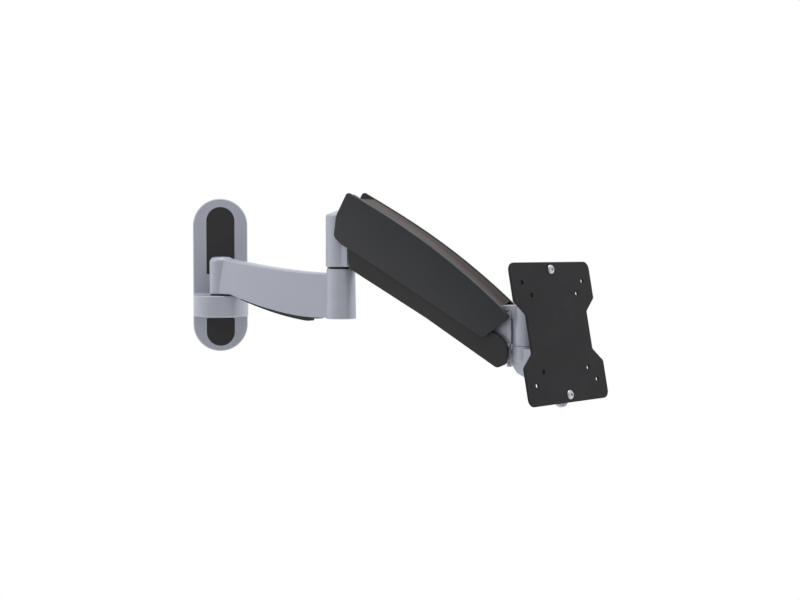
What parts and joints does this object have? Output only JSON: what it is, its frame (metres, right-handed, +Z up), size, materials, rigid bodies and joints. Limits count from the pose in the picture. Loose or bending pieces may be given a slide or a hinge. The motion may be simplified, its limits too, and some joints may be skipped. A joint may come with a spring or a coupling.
{
  "type": "full motion tv wall mount",
  "caption": "Single-stud display wall mount: a swivelling first arm, a spring-balanced parallel-link second arm, and a swivel, tilt and turn head with a square hole plate.",
  "frame": {"origin": "middle of the wall plate's back face, where it rests on the wall", "axes": "+Y into the wall, +X to the right for someone facing the wall, +Z up"},
  "size_m": [0.4067, 0.378, 0.2166],
  "materials": {
    "silver_paint": "fine satin silver powder coat",
    "black_plastic": "fine matt texture",
    "cover_plastic": "fine matt texture, dark grey",
    "strip_plastic": "smooth matt, warm grey",
    "black_steel": "black powder coat",
    "zinc_steel": "zinc plated",
    "nylon": "moulded nylon",
    "spring_paint": "gloss black enamel"
  },
  "bodies": {
    "wall_mount": {"wall_plate": "silver_paint", "upper_screw_cover": "black_plastic", "lower_screw_cover": "black_plastic", "wall_bush_upper": "nylon", "wall_bush_lower": "nylon"},
    "first_arm": {"arm_1": "silver_paint", "cable_cover": "black_plastic", "cable_clip": "black_plastic", "wall_pivot_bolt": "zinc_steel", "wall_friction_washer": "zinc_steel", "elbow_bush_upper": "nylon", "elbow_bush_lower": "nylon", "elbow_cap": "silver_paint"},
    "elbow_block": {"arm_2_base": "silver_paint", "elbow_shaft": "zinc_steel", "elbow_washer": "zinc_steel", "elbow_nut": "zinc_steel", "rear_upper_bush": "nylon", "rear_lower_bush": "nylon", "spring_anchor_pin": "zinc_steel"},
    "upper_arm": {"upper_beam": "black_steel", "upper_cover_near": "cover_plastic", "upper_cover_far": "cover_plastic", "top_strip": "strip_plastic", "rear_upper_pin": "zinc_steel", "front_upper_pin": "zinc_steel", "spring_front_pin": "zinc_steel"},
    "lower_arm": {"lower_link": "black_steel", "lower_cover": "cover_plastic", "rear_lower_pin": "zinc_steel", "front_lower_pin": "zinc_steel"},
    "head_block": {"end_link": "silver_paint", "front_upper_bush": "nylon", "front_lower_bush": "nylon", "swivel_stop_screw": "zinc_steel", "head_bush": "nylon", "head_cap": "silver_paint"},
    "head_fork": {"swivel_bracket": "silver_paint", "head_pin": "zinc_steel", "head_washer": "zinc_steel", "head_nut": "zinc_steel", "tilt_bolt": "zinc_steel", "tilt_nut": "zinc_steel"},
    "tilt_head": {"tilt_knuckle": "silver_paint", "turn_bolt": "zinc_steel", "turn_washer": "nylon"},
    "display_plate": {"vesa_plate": "black_steel", "plate_bar": "silver_paint", "plate_spacer_upper": "zinc_steel", "plate_spacer_lower": "zinc_steel", "plate_screw_upper": "zinc_steel", "plate_screw_lower": "zinc_steel"},
    "spring_barrel": {"spring_tube": "spring_paint", "spring_tube_eye": "zinc_steel"},
    "spring_piston": {"spring_rod": "zinc_steel", "spring_rod_eye": "zinc_steel"}
  },
  "joints": [
    {"name": "wall_swivel", "type": "hinge", "parent": "wall_mount", "child": "first_arm", "pos_m": [0, -0.034, 0], "axis": [0, 0, 1], "range_deg": [-120, 30]},
    {"name": "elbow_swivel", "type": "hinge", "parent": "first_arm", "child": "elbow_block", "pos_m": [0.12198, -0.15598, 0], "axis": [0, 0, 1], "range_deg": [-115, 105]},
    {"name": "arm_lift", "type": "hinge", "parent": "elbow_block", "child": "upper_arm", "pos_m": [0.14204, -0.17251, 0.056], "axis": [-0.6361, -0.7716, 0], "range_deg": [-10, 45]},
    {"name": "lower_arm_lift", "type": "hinge", "parent": "elbow_block", "child": "lower_arm", "pos_m": [0.14204, -0.17251, 0.028], "axis": [-0.6361, -0.7716, 0], "range_deg": [-10, 45]},
    {"name": "head_level", "type": "hinge", "parent": "upper_arm", "child": "head_block", "pos_m": [0.27011, -0.27809, -0.03791], "axis": [-0.6361, -0.7716, 0], "range_deg": [-45, 10]},
    {"name": "head_swivel", "type": "hinge", "parent": "head_block", "child": "head_fork", "pos_m": [0.29017, -0.29463, -0.0689], "axis": [0, 0, 1], "range_deg": [-45, 70]},
    {"name": "head_tilt", "type": "hinge", "parent": "head_fork", "child": "tilt_head", "pos_m": [0.30116, -0.30889, -0.0844], "axis": [-0.7923, -0.6101, 0], "range_deg": [-16, 3.8]},
    {"name": "display_turn", "type": "hinge", "parent": "tilt_head", "child": "display_plate", "pos_m": [0.31633, -0.32859, -0.0512], "axis": [0.5987, -0.7775, 0.1925], "range_deg": [-90, 90]},
    {"name": "spring_swing", "type": "hinge", "parent": "upper_arm", "child": "spring_barrel", "pos_m": [0.24202, -0.25493, -0.0196], "axis": [-0.6361, -0.7716, 0], "range_deg": [-0.6, 2.2]},
    {"name": "spring_stroke", "type": "slide", "parent": "spring_barrel", "child": "spring_piston", "axis": [-0.6917, 0.5702, 0.4433], "range_m": [-0.0024, 0.0101]}
  ],
  "couplings": [
    {"joint": "lower_arm_lift", "follows": "arm_lift", "ratio": 1},
    {"joint": "head_level", "follows": "arm_lift", "ratio": -1},
    {"joint": "spring_swing", "follows": "arm_lift", "ratio": 0.0456},
    {"joint": "spring_stroke", "follows": "arm_lift", "m_per_rad": 0.012525}
  ]
}
